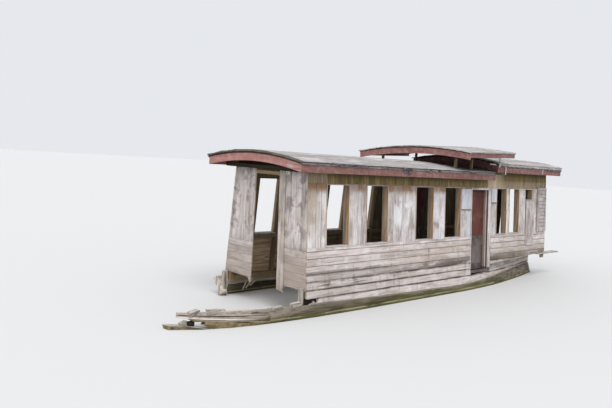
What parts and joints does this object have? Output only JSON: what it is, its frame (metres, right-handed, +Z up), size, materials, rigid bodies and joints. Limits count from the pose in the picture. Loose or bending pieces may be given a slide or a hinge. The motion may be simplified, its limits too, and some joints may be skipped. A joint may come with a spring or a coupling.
{
  "type": "wooden river cabin boat",
  "caption": "Derelict wooden river cabin boat: weathered boarded cabin, lapped lower planks, arched roofs and a raised canopy over the side doors.",
  "frame": {"origin": "On the waterline, on the centreline, amidships of the planked hull", "axes": "+X towards the bow, +Y to port, +Z up"},
  "size_m": [12.6956, 2.8535, 3.7346],
  "materials": {
    "wall_boards": "weathered bare boards with grain and stains",
    "lower_planks": "weathered lapped planks with damp stains",
    "hull_planks": "wet planks with algae near the waterline",
    "maroon_boards": "worn dusty maroon paint on boards",
    "frame_timber": "dry brown timber",
    "trim_timber": "sun-bleached posts and frames",
    "roof_sheet": "faded roofing felt with torn edges, laid on boards"
  },
  "bodies": {
    "hull": {"aft_wall": "wall_boards", "cabin_floor": "frame_timber", "canopy_fascia": "maroon_boards", "canopy_roof": "roof_sheet", "canopy_strut": "trim_timber", "floor_timbers": "hull_planks", "front_corner_stanchion": "trim_timber", "front_cross_beam": "frame_timber", "front_door_post": "trim_timber", "front_header": "trim_timber", "front_wall_port": "wall_boards", "front_wall_starboard": "wall_boards", "hull_bottom": "hull_planks", "keel": "hull_planks", "main_front_fascia": "maroon_boards", "main_roof": "roof_sheet", "port_door_frame": "trim_timber", "port_eave_fascia": "maroon_boards", "port_lower_planks_aft": "lower_planks", "port_lower_planks_fore": "lower_planks", "port_main_plate": "frame_timber", "port_quarter_plank": "lower_planks", "port_quarter_soffit": "lower_planks", "port_sheer_plank": "lower_planks", "port_sill_frame_aft": "frame_timber", "port_sill_frame_fore": "frame_timber", "port_stern_plate": "frame_timber", "port_upper_boards_aft": "wall_boards", "port_upper_boards_fore": "wall_boards", "port_wale": "hull_planks", "port_window_posts": "frame_timber", "starboard_bow_stub": "lower_planks", "starboard_door_frame": "trim_timber", "starboard_eave_fascia": "maroon_boards", "starboard_lower_planks_aft": "lower_planks", "starboard_lower_planks_fore": "lower_planks", "starboard_main_plate": "frame_timber", "starboard_quarter_plank": "lower_planks", "starboard_quarter_soffit": "lower_planks", "starboard_sheer_plank": "lower_planks", "starboard_sill_frame_aft": "frame_timber", "starboard_sill_frame_fore": "frame_timber", "starboard_stern_plate": "frame_timber", "starboard_upper_boards_aft": "wall_boards", "starboard_upper_boards_fore": "wall_boards", "starboard_wale": "hull_planks", "starboard_window_posts": "frame_timber", "stem_stub": "hull_planks", "stern_deck": "lower_planks", "stern_fascia": "maroon_boards", "stern_roof": "roof_sheet", "stern_side_plank": "lower_planks", "transom": "lower_planks"},
    "port_side_door": {"port_side_door": "maroon_boards"},
    "starboard_side_door": {"starboard_side_door": "maroon_boards"},
    "port_stern_shutter": {"port_stern_shutter": "wall_boards"},
    "starboard_stern_shutter": {"starboard_stern_shutter": "wall_boards"},
    "rudder": {"rudder": "hull_planks"}
  },
  "joints": [
    {"name": "port_side_door", "type": "hinge", "parent": "hull", "child": "port_side_door", "pos_m": [-1.703, 0.86134, 0.42973], "axis": [0, -0.0663, 0.9978], "range_deg": [0, 90]},
    {"name": "port_stern_shutter", "type": "hinge", "parent": "hull", "child": "port_stern_shutter", "pos_m": [-4.872, 1.05791, 0.44278], "axis": [0, 0.0663, -0.9978], "range_deg": [0, 100]},
    {"name": "starboard_side_door", "type": "hinge", "parent": "hull", "child": "starboard_side_door", "pos_m": [-1.703, -0.86134, 0.42973], "axis": [0, -0.0663, -0.9978], "range_deg": [0, 90]},
    {"name": "starboard_stern_shutter", "type": "hinge", "parent": "hull", "child": "starboard_stern_shutter", "pos_m": [-4.872, -1.05791, 0.44278], "axis": [0, 0.0663, 0.9978], "range_deg": [0, 100]},
    {"name": "rudder", "type": "hinge", "parent": "hull", "child": "rudder", "pos_m": [-5.6553, 0, 0], "axis": [0, 0, 1], "range_deg": [-35, 35]}
  ]
}
